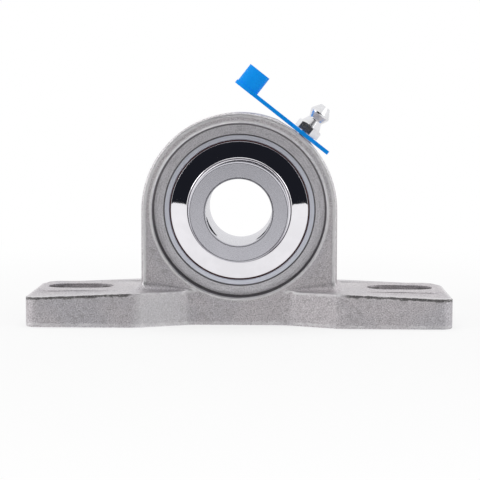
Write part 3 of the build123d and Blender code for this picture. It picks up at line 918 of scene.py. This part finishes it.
# ---- Recipes -----------------------------------------------------------------------------
class Recipe(NodeSheet):
    """A Geometry Nodes tree with named number inputs, a mesh in and a dressed mesh out."""

    def __init__(self, name: str, material: bpy.types.Material) -> None:
        super().__init__(bpy.data.node_groups.new(name, "GeometryNodeTree"))
        self.name = name
        self.material = material
        self.keys: Dict[str, str] = {}
        for way in ("OUTPUT", "INPUT"):
            self.tree.interface.new_socket("Geometry", in_out=way, socket_type="NodeSocketGeometry")
        self.entry = self.node("NodeGroupInput")

    @property
    def geometry(self) -> bpy.types.NodeSocket:
        """The mesh that the tree is given."""
        return self.entry.outputs[0]

    def numbers(self, *names: str, whole: bool = False) -> List[Term]:
        """Named inputs.

        Args:
            names: their names.
            whole: whether they are whole numbers.

        Returns:
            The inputs as terms.
        """
        for name in names:
            kind = "NodeSocketInt" if whole else "NodeSocketFloat"
            made = self.tree.interface.new_socket(name, in_out="INPUT", socket_type=kind)
            self.keys[name] = made.identifier
        return [Term(self, self.entry.outputs[name]) for name in names]

    def scatter(self, low: Place, high: Place, seed: Number) -> bpy.types.NodeSocket:
        """A random vector for each point.

        Args:
            low: the lowest value of each component.
            high: the highest.
            seed: what fixes the draw.

        Returns:
            The vector.
        """
        inputs = {0: low, 1: high, "Seed": seed}
        return self.first("FunctionNodeRandomValue", inputs, data_type="FLOAT_VECTOR")

    def moved(self, geometry: bpy.types.NodeSocket, **inputs: Any) -> bpy.types.NodeSocket:
        """Geometry whose points have a new Position or an Offset."""
        return self.first("GeometryNodeSetPosition", {"Geometry": geometry, **inputs})

    def circle(self, steps: Term, radius: Term) -> bpy.types.NodeSocket:
        """A circle divided into steps."""
        inputs = {"Resolution": steps, "Radius": radius}
        return self.first("GeometryNodeCurvePrimitiveCircle", inputs, mode="RADIUS")

    def end(self, geometry: bpy.types.NodeSocket) -> None:
        """Closes the tree with real geometry and its material."""
        real = self.first("GeometryNodeRealizeInstances", {0: geometry})
        inputs = {"Geometry": real, "Material": self.material}
        self.node("NodeGroupOutput", None, {0: self.first("GeometryNodeSetMaterial", inputs)})

    def bake(self, source: bpy.types.Object, name: str, **values: float) -> bpy.types.Object:
        """Runs the tree on an object and keeps the result as a plain mesh.

        Args:
            source: the object that carries the tree, removed afterwards.
            name: name of the finished piece.
            values: the inputs by name.

        Returns:
            The finished piece.
        """
        modifier = source.modifiers.new(self.name, "NODES")
        modifier.node_group = self.tree
        for key, value in values.items():
            modifier[self.keys[key]] = value
        mesh = plain_mesh(source)
        source.modifiers.remove(modifier)
        bpy.data.objects.remove(source)
        return in_scene(name, mesh)


def turning_recipe(material: bpy.types.Material) -> Recipe:
    """Tree that turns a section of (radius, height) points about the Z axis.

    Args:
        material: what the turned piece is made of.

    Returns:
        The recipe, with the inputs "Steps", the divisions of the turn, and "Middle", any
        radius inside the section, in metres.
    """
    recipe = Recipe("turned_sheet", material)
    [steps], [middle] = recipe.numbers("Steps", whole=True), recipe.numbers("Middle")
    inwards = recipe.join(-middle, 0.0, 0.0)
    shifted = recipe.moved(recipe.geometry, Offset=inwards)
    section = recipe.first("GeometryNodeMeshToCurve", {0: shifted})
    circle = recipe.circle(steps, middle)
    level = recipe.first("GeometryNodeSetCurveNormal", {0: circle}, mode="Z_UP")
    recipe.end(recipe.first("GeometryNodeCurveToMesh", {"Curve": level, "Profile Curve": section}))
    return recipe


def thread_recipe(material: bpy.types.Material) -> Recipe:
    """Tree that presses a vee thread into a round body that stands on the Z axis.

    Args:
        material: what the piece is made of.

    Returns:
        The recipe, with the inputs "Pitch", "Depth", "Radius", "Low", "High" in metres.
    """
    recipe = Recipe("rolled_thread", material)
    pitch, depth, radius, low, high = recipe.numbers("Pitch", "Depth", "Radius", "Low", "High")
    x, y, z = recipe.split(recipe.first("GeometryNodeInputPosition", {}))
    reach = x.hypot(y)
    phase = z / pitch - y.angle(x) / (2 * math.pi)
    wave = abs(phase.fraction() - 0.5) * 2
    ends = z.above(low) * high.above(z) * reach.above(radius - depth)
    share = 1 - wave * depth * ends / reach
    recipe.end(recipe.moved(recipe.geometry, Position=recipe.join(x * share, y * share, z)))
    return recipe


def grain_recipe(material: bpy.types.Material) -> Recipe:
    """Tree that strews rough grains along lines, as on the seam of a casting.

    Args:
        material: what the grains are made of.

    Returns:
        The recipe, with the inputs "Step", "Size", "Spread" in metres and "Seed".
    """
    recipe = Recipe("casting_seam_grains", material)
    step, size, spread = recipe.numbers("Step", "Size", "Spread")
    [seed] = recipe.numbers("Seed", whole=True)
    line = recipe.first("GeometryNodeMeshToCurve", {0: recipe.geometry})
    spots = recipe.first("GeometryNodeResampleCurve", {"Curve": line, "Length": step},
                         mode="LENGTH")
    points = recipe.first("GeometryNodeCurveToPoints", {0: spots}, mode="EVALUATED")
    shift = recipe.scale(recipe.scatter((-1.0, -1.0, -1.0), (1.0, 1.0, 1.0), seed), spread)
    lump = recipe.first("GeometryNodeMeshIcoSphere", {"Radius": size, "Subdivisions": 2})
    turn = recipe.scatter((0.0, 0.0, 0.0), (FULL_TURN, FULL_TURN, FULL_TURN), seed + 1)
    swell = recipe.scatter((0.45, 0.3, 0.3), (1.5, 0.9, 0.8), seed + 2)
    recipe.end(recipe.first("GeometryNodeInstanceOnPoints", {
        "Points": recipe.moved(points, Offset=shift), "Instance": lump, "Rotation": turn,
        "Scale": swell}))
    return recipe


def coil_recipe(material: bpy.types.Material) -> Recipe:
    """Tree that winds a round wire into a coil that rises along Z.

    Args:
        material: what the wire is made of.

    Returns:
        The recipe, with the inputs "Turns", "Radius", "Rise" and "Wire" in metres, and the
        divisions "Around" of each turn and "Sides" of the wire.
    """
    recipe = Recipe("wound_wire", material)
    turns, radius, rise, wire = recipe.numbers("Turns", "Radius", "Rise", "Wire")
    around, sides = recipe.numbers("Around", "Sides", whole=True)
    line = recipe.first("GeometryNodeCurveSpiral", {
        "Resolution": around, "Rotations": turns, "Start Radius": radius, "End Radius": radius,
        "Height": rise})
    recipe.end(recipe.first("GeometryNodeCurveToMesh", {
        "Curve": line, "Profile Curve": recipe.circle(sides, wire), "Fill Caps": True}))
    return recipe


# ---- Studio ------------------------------------------------------------------------------
def facing(place: Place, target: Place) -> Matrix:
    """Where a lamp or camera stands, turned to look at a point."""
    aim = Vector(target) - Vector(place)
    return Matrix.Translation(place) @ aim.to_track_quat("-Z", "Y").to_matrix().to_4x4()


@dataclass(frozen=True)
class Softbox:
    """Rectangular area lamp that faces the bearing, in metres and watts."""

    name: str
    place: Place
    width: float
    depth: float
    power: float
    mirrored: bool = True

    def build(self) -> None:
        """Hangs the lamp. One that isn't mirrored stays out of reflections."""
        lamp = bpy.data.lights.new(self.name, "AREA")
        lamp.shape, lamp.size, lamp.size_y = "RECTANGLE", self.width, self.depth
        lamp.energy = self.power
        holder = in_scene(self.name, lamp)
        holder.visible_glossy = self.mirrored
        holder.matrix_world = facing(self.place, (0.0, 0.0, SHAFT_HEIGHT))


@dataclass
class Studio:
    """Pale floor, soft lamps, a dark card behind the camera, and the camera itself.

    Places and sizes are in metres, apart from the lens and its sensor.
    """

    camera_place: Place = (11.24 * MM, -465.0 * MM, 65.48 * MM)
    camera_target: Place = (-0.01 * MM, 0.0, 23.79 * MM)
    camera_roll: float = 0.16
    lens: float = 117.83
    sensor: float = 36.0
    clip: Point = (0.01, 50.0)
    floor_reach: float = 6.0
    floor_shade: float = 0.97
    floor_lift: float = 0.72
    floor_fade: Point = (0.07, 0.26)
    world_strength: float = 0.62
    card_radius: float = 2.2
    card_half_turn: float = 46.0
    card_low: float = -2.0
    card_high: float = 48.0
    card_grid: Tuple[int, int] = (25, 49)
    card_shade: Colour = (0.012, 0.013, 0.018)
    lamps: Tuple[Softbox, ...] = (
        Softbox("top_softbox", (0.0, 0.10, 0.85), 0.62, 0.42, 1.9, mirrored=False),
        Softbox("left_softbox", (-0.95, -0.55, 0.60), 0.45, 0.45, 1.3),
        Softbox("right_softbox", (0.95, -0.45, 0.60), 0.45, 0.45, 1.0))

    @staticmethod
    def _seen(sheet: NodeSheet) -> Term:
        """1 for a ray from the camera, a reflection or a transmission, else 0."""
        path = sheet.node("ShaderNodeLightPath").outputs
        camera, glossy = Term(sheet, path["Is Camera Ray"]), Term(sheet, path["Is Glossy Ray"])
        return camera.most(glossy).most(Term(sheet, path["Is Transmission Ray"]))

    def build_world(self) -> None:
        """World that is white to look at and softer as a light."""
        world = bpy.data.worlds.new("studio_world")
        sheet = NodeSheet(empty_tree(world))
        seen = self._seen(sheet)
        strength = seen + (1 - seen) * self.world_strength
        light = sheet.first("ShaderNodeBackground", {"Color": WHITE, "Strength": strength})
        sheet.node("ShaderNodeOutputWorld", None, {"Surface": light})
        bpy.context.scene.world = world

    def build_floor(self) -> None:
        """Wide pale floor that keeps the object's shadow."""
        reach = self.floor_reach
        corners = [(-reach, -reach, 0), (reach, -reach, 0), (reach, reach, 0), (-reach, reach, 0)]
        floor = mesh_object("studio_floor", corners, [(0, 1, 2, 3)])
        material = bpy.data.materials.new("studio_floor")
        sheet = NodeSheet(empty_tree(material))
        plain = sheet.first("ShaderNodeBsdfDiffuse", {"Color": (*[self.floor_shade] * 3, 1.0)})
        glow = sheet.first("ShaderNodeEmission", {"Color": WHITE, "Strength": 1.0})
        across, along, _ = sheet.split(sheet.node("ShaderNodeTexCoord").outputs["Object"])
        away = across.hypot(along).rise(*self.floor_fade)
        share = self._seen(sheet) * (away * (1 - self.floor_lift) + self.floor_lift)
        mixed = sheet.first("ShaderNodeMixShader", {0: share, 1: plain, 2: glow})
        sheet.node("ShaderNodeOutputMaterial", None, {"Surface": mixed})
        floor.data.materials.append(material)

    def build_card(self) -> None:
        """Dark curved card behind the camera, from low to high, seen only in reflections."""
        rows, columns = self.card_grid
        turns = np.radians(np.linspace(-self.card_half_turn, self.card_half_turn, columns) - 90)
        lifts = np.radians(np.linspace(self.card_low, self.card_high, rows))
        points = [(self.card_radius * math.cos(lift) * math.cos(turn),
                   self.card_radius * math.cos(lift) * math.sin(turn),
                   self.card_radius * math.sin(lift)) for lift in lifts for turn in turns]
        card = mesh_object("studio_dark_card", points, grid_faces(rows, columns, False))
        material = bpy.data.materials.new("studio_dark_card")
        sheet = NodeSheet(empty_tree(material))
        inputs = {"Color": (*self.card_shade, 1.0), "Strength": 1.0}
        glow = sheet.first("ShaderNodeEmission", inputs)
        sheet.node("ShaderNodeOutputMaterial", None, {"Surface": glow})
        card.data.materials.append(material)
        for ray in ("camera", "diffuse", "shadow", "transmission"):
            setattr(card, f"visible_{ray}", False)

    def build_camera(self) -> None:
        """Camera at the chosen view."""
        data = bpy.data.cameras.new("camera")
        data.lens, data.sensor_width = self.lens, self.sensor
        data.clip_start, data.clip_end = self.clip
        camera = in_scene("camera", data)
        roll = Matrix.Rotation(math.radians(self.camera_roll), 4, "Z")
        camera.matrix_world = facing(self.camera_place, self.camera_target) @ roll
        bpy.context.scene.camera = camera

    def build(self) -> None:
        """Builds the whole studio."""
        bpy.context.scene.view_settings.view_transform = "Standard"
        self.build_world()
        self.build_floor()
        self.build_card()
        for lamp in self.lamps:
            lamp.build()
        self.build_camera()
        LOG.info("studio built")


# ---- Pieces ------------------------------------------------------------------------------
@dataclass
class Assembly:
    """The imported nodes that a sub-assembly dresses."""

    nodes: Dict[str, bpy.types.Object]

    def dress(self, pattern: str, finish: Finish) -> None:
        """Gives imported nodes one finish.

        Args:
            pattern: the nodes' names, with * for any part of one.
            finish: the finish.
        """
        material = finish.material()
        for name in fnmatch.filter(self.nodes, pattern):
            dress(self.nodes[name], material)
            LOG.info("dressed %s in %s", name, material.name)


@dataclass
class HousingCasting(Assembly):
    """The cast body with the rough seam along its feet."""

    steel: CastSteel = CastSteel()
    smooth_angle: float = 35.0
    grain_step: float = 0.42
    grain_size: float = 0.17
    grain_spread: float = 0.16
    grain_seed: int = 7
    grain_front: float = 18.65
    grain_drop: float = 0.42
    grain_start: float = 31.5
    grain_end: float = 55.5

    def _level(self, x: float) -> float:
        """Height of a foot's seam at a distance from the middle of the base."""
        form = self.steel.form
        run = max(x - form.new_slope_start, 0.0)
        return form.new_root_level - run * form.new_slope - self.grain_drop

    def _body(self, material: bpy.types.Material) -> None:
        """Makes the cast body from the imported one, merged and moved to its finer shape."""
        mesh = self.nodes["housing"].data.copy()
        mesh.name = "housing_casting"
        piece = in_scene("housing_casting", mesh)
        points = np.empty(len(mesh.vertices) * 3)
        mesh.vertices.foreach_get("co", points)
        points = self.steel.form.moved(points.reshape(-1, 3) / MM) * MM
        mesh.vertices.foreach_set("co", points.ravel())
        dress(piece, material)
        clean(piece, self.smooth_angle)
        level = piece.modifiers.new("even_shading", "WEIGHTED_NORMAL")
        level.keep_sharp = True
        finished = plain_mesh(piece)
        piece.modifiers.clear()
        piece.data = finished
        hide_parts("housing")
        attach(piece, "housing_body")
        report(piece)

    def _seams(self, material: bpy.types.Material) -> None:
        """Strews the rough seam of each foot along its front and back."""
        points = [(side * x * MM, depth * MM, self._level(x) * MM)
                  for side in (-1, 1) for depth in (-self.grain_front, self.grain_front)
                  for x in (self.grain_start, self.grain_end)]
        edges = [(n, n + 1) for n in range(0, len(points), 2)]
        source = mesh_object("casting_seam_lines", points, [], edges)
        seam = grain_recipe(material).bake(
            source, "casting_seam_grains", Step=self.grain_step * MM, Size=self.grain_size * MM,
            Spread=self.grain_spread * MM, Seed=self.grain_seed)
        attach(seam, "housing_body")
        report(seam)

    def build(self) -> None:
        """Dresses the casting and strews its seams."""
        material = self.steel.material()
        self._body(material)
        self._seams(material)


@dataclass
class Flinger:
    """Coned mirror-bright sheet ring, bent outwards into a collar on the inner ring."""

    face: Face
    rim_radius: float = 20.08
    thickness: float = 0.5
    cone_angle: float = 13.4
    bend_radius: float = 0.85
    least_inner_bend: float = 0.05
    inner_bend_middle: float = 0.3
    collar_bore: float = 14.4
    rim_level: float = 8.55
    collar_end: float = 10.35
    edge_break: float = 0.10
    smooth_angle: float = 40.0
    turn_steps: int = 384
    bend_steps: int = 10
    cone_steps: int = 8

    def _level(self, radius: float) -> float:
        """Height of the cone's outer face above the bearing's middle."""
        return self.rim_level + (self.rim_radius - radius) * math.tan(math.radians(self.cone_angle))

    def profile(self) -> List[Point]:
        """Closed section as (radius, height) points in millimetres."""
        half, cone, lean = self.thickness / 2, self.cone_angle, math.radians(self.cone_angle)
        rim_at = self.rim_radius - half
        rim_centre = (rim_at, self._level(rim_at) - half / math.cos(lean))
        bore, collar, end = self.collar_bore, self.collar_bore + self.thickness, self.collar_end
        run = self.bend_radius * math.tan(math.radians((90 - cone) / 2))
        bend_centre = (collar + self.bend_radius, self._level(collar) + run)
        inner_bend = max(self.least_inner_bend, self.bend_radius - self.thickness)
        points = arc(rim_centre, half, -90 - cone, 90 - cone, self.bend_steps)
        bend_at = collar + run * math.cos(lean)
        first, last = points[-1], (bend_at, self._level(bend_at))
        points += [(first[0] + (last[0] - first[0]) * t, first[1] + (last[1] - first[1]) * t)
                   for t in np.linspace(0.0, 1.0, self.cone_steps + 1)[1:-1]]
        points += arc(bend_centre, self.bend_radius, 270 - cone, 180, self.bend_steps)
        points += [(collar, end - self.edge_break), (collar - self.edge_break, end),
                   (bore + self.edge_break, end), (bore, end - self.edge_break)]
        low = self._level(bore) - self.thickness / math.cos(lean)
        middle = inner_bend * self.inner_bend_middle
        return points + [(bore, low + inner_bend), (bore + middle, low + middle)]

    def build(self, recipe: Recipe) -> None:
        """Turns the flinger and puts it on its inner ring.

        Args:
            recipe: the turning tree.
        """
        name = f"{self.face.word}_flinger"
        points = [(radius * MM, height * MM, 0.0) for radius, height in self.profile()]
        edges = [(n, (n + 1) % len(points)) for n in range(len(points))]
        source = mesh_object(name + "_profile", points, [], edges)
        piece = recipe.bake(source, name + "_sheet", Steps=self.turn_steps,
                            Middle=self.collar_bore * MM)
        outwards = Matrix.Rotation(math.radians(-90 * self.face.value), 4, "X")
        piece.data.transform(Matrix.Translation((0, 0, SHAFT_HEIGHT)) @ outwards)
        clean(piece, self.smooth_angle)
        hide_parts(name)
        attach(piece, "inner_ring_body")
        report(piece)


@dataclass
class SetScrew:
    """Socket set screw with a cup point and a rolled thread."""

    side: Screw
    diameter: float = 6.35
    pitch: float = 0.907
    thread_depth: float = 0.42
    low: float = 9.975
    high: float = 14.1
    axial: float = -13.7
    point_chamfer: float = 0.7
    top_chamfer: float = 0.3
    cup_depth: float = 0.5
    cup_rim: float = 0.6
    cup_bend: Point = (0.6, 0.62)
    cup_edge: Point = (0.08, 0.02)
    socket: float = 3.175
    socket_depth: float = 2.4
    socket_chamfer: float = 0.12
    drill_depth: float = 0.35
    core: float = 0.02
    smooth_angle: float = 34.0
    around: int = 72
    body_rows: int = 44

    def _ring(self, radius: float, height: float, hexagonal: bool = False) -> List[Place]:
        """Row of points round the axis.

        Args:
            radius: how far from the axis a round row, or each flat of a hexagonal one, lies.
            height: its height on the axis.
            hexagonal: whether it is a hexagon.

        Returns:
            The points.
        """
        row = []
        for turn in np.linspace(0, 2 * math.pi, self.around, endpoint=False):
            off = (turn % (math.pi / 3)) - math.pi / 6
            reach = radius / math.cos(off) if hexagonal else radius
            row.append((reach * math.cos(turn), reach * math.sin(turn), height))
        return row

    def _rows(self) -> List[List[Place]]:
        """All rows of the screw, from the bottom of its cup to the bottom of its socket."""
        radius, flat, low, high = self.diameter / 2, self.socket / 2, self.low, self.high
        cup, floor = radius - self.point_chamfer - self.cup_rim, high - self.socket_depth
        (bend, bend_depth), (edge, drop) = self.cup_bend, self.cup_edge
        shank = np.linspace(low + self.point_chamfer, high - self.top_chamfer, self.body_rows)
        rows = [(self.core, low + self.cup_depth), (cup * bend, low + self.cup_depth * bend_depth),
                (cup, low + drop), (cup + edge, low), (radius - self.point_chamfer, low)]
        rows += [(radius, height) for height in shank]
        rows += [(radius - self.top_chamfer, high), (flat + self.socket_chamfer, high, True),
                 (flat, high - self.socket_chamfer, True), (flat, floor, True),
                 (self.core, floor - self.drill_depth)]
        return [self._ring(*row) for row in rows]

    def build(self, recipe: Recipe) -> None:
        """Threads the screw and puts it in the inner ring.

        Args:
            recipe: the thread tree.
        """
        name = f"set_screw_{self.side.word}"
        rows = self._rows()
        points = [(x * MM, y * MM, z * MM) for row in rows for x, y, z in row]
        faces = [tuple(reversed(range(self.around)))] + grid_faces(len(rows), self.around, True)
        faces.append(tuple(range(len(points) - self.around, len(points))))
        source = mesh_object(name + "_blank", points, faces)
        piece = recipe.bake(
            source, name + "_threaded", Pitch=self.pitch * MM, Depth=self.thread_depth * MM,
            Radius=self.diameter / 2 * MM, Low=(self.low + self.point_chamfer * 0.5) * MM,
            High=(self.high - self.top_chamfer * 0.5) * MM)
        turn = Matrix.Rotation(math.radians(90 - self.side.value), 4, "Y")
        piece.data.transform(Matrix.Translation((0, self.axial * MM, SHAFT_HEIGHT)) @ turn)
        clean(piece, self.smooth_angle)
        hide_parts(name)
        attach(piece, name + "_body")
        report(piece)


@dataclass
class BearingInsert(Assembly):
    """The rings, balls, cage, seals, flingers and set screws."""

    finishes: Tuple[Tuple[str, Finish], ...] = (
        # the outer ring is painted dark at its outer edge and the inner ring has two lines of
        # painted shade
        ("outer_ring", TurnedSteel("turned_outer_ring", (0.68, 0.695, 0.77), 0.30,
                                   edge_radius=21.82)),
        ("inner_ring", TurnedSteel("turned_inner_ring", (0.60, 0.595, 0.645), 0.27, mark_size=0.045,
                                   mark_depth=0.002, mark_contrast=0.03, rings=(9.86, 13.96))),
        ("ball_*", PlainSteel("polished_ball_steel", (0.62, 0.62, 0.64), 0.06)),
        ("cage_*", PlainSteel("pressed_cage_steel", (0.50, 0.49, 0.47), 0.34)),
        ("*_seal_rubber", SealRubber()),
        ("*_seal_core", PlainSteel("pressed_seal_core", (0.46, 0.45, 0.44), 0.36)))
    flinger_sheet: PolishedSteel = PolishedSteel()
    screw_steel: PlainSteel = PlainSteel("stainless_screw", (0.42, 0.42, 0.43), 0.24,
                                         grain_size=0.5, grain_depth=0.008)

    def build(self) -> None:
        """Dresses and builds the insert."""
        for pattern, finish in self.finishes:
            self.dress(pattern, finish)
        turning = turning_recipe(self.flinger_sheet.material())
        for face in Face:
            Flinger(face).build(turning)
        threading = thread_recipe(self.screw_steel.material())
        for side in Screw:
            SetScrew(side).build(threading)


@dataclass
class ValveSpring:
    """Coil spring in the nipple's bore, which closes up as the check ball is pushed in; here it is
    wound at one length.
    """

    turns: float = 9.0
    radius: float = 1.16
    wire_radius: float = 0.16
    low: float = 24.94
    high: float = 35.675
    foot: Place = (1.0638, 0.0, 32.4689)
    axis: Place = (0.615661, 0.0, 0.788011)
    smooth_angle: float = 60.0
    around: int = 28
    wire_sides: int = 10

    def _place(self, height: float) -> Vector:
        """Point on the nipple's axis at a height, in metres."""
        return (Vector(self.foot) + Vector(self.axis) * height) * MM

    def build(self, recipe: Recipe) -> None:
        """Winds the spring and sets it along the nipple's axis.

        Args:
            recipe: the coil tree.
        """
        source = mesh_object("valve_spring_start", [(0.0, 0.0, 0.0), (0.0, 0.0, MM)], [], [(0, 1)])
        piece = recipe.bake(source, "valve_spring_coil", Turns=self.turns, Radius=self.radius * MM,
                            Rise=(self.high - self.low) * MM, Wire=self.wire_radius * MM,
                            Around=self.around, Sides=self.wire_sides)
        turn = Vector(self.axis).to_track_quat("Z", "Y").to_matrix().to_4x4()
        piece.data.transform(Matrix.Translation(self._place(self.low)) @ turn)
        clean(piece, self.smooth_angle)
        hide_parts("nipple_spring")
        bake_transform(piece)
        report(piece)


@dataclass
class GreaseFitting(Assembly):
    """The grease nipple with its valve and its dust cap."""

    plating: PlainSteel = PlainSteel("bright_plated_steel", (0.80, 0.80, 0.82), 0.27,
                                     grain_size=1.4, grain_depth=0.006, contrast=0.08)
    ball_steel: PlainSteel = PlainSteel("check_ball_steel", (0.6, 0.6, 0.62), 0.08)
    wire: PlainSteel = PlainSteel("spring_wire", (0.45, 0.45, 0.44), 0.22)
    cap: CapPlastic = CapPlastic()

    def build(self) -> None:
        """Dresses the fitting and winds its spring."""
        self.dress("grease_nipple", self.plating)
        self.dress("nipple_check_ball", self.ball_steel)
        ValveSpring().build(coil_recipe(self.wire.material()))
        self.dress("dust_cap", self.cap)


def main() -> None:
    """Builds the dressed model and its studio."""
    logging.basicConfig(level=logging.INFO, format="%(name)s: %(message)s")
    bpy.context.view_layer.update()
    Studio().build()
    nodes = frame["nodes"]
    HousingCasting(nodes).build()
    BearingInsert(nodes).build()
    GreaseFitting(nodes).build()


if __name__ == "__main__":
    main()
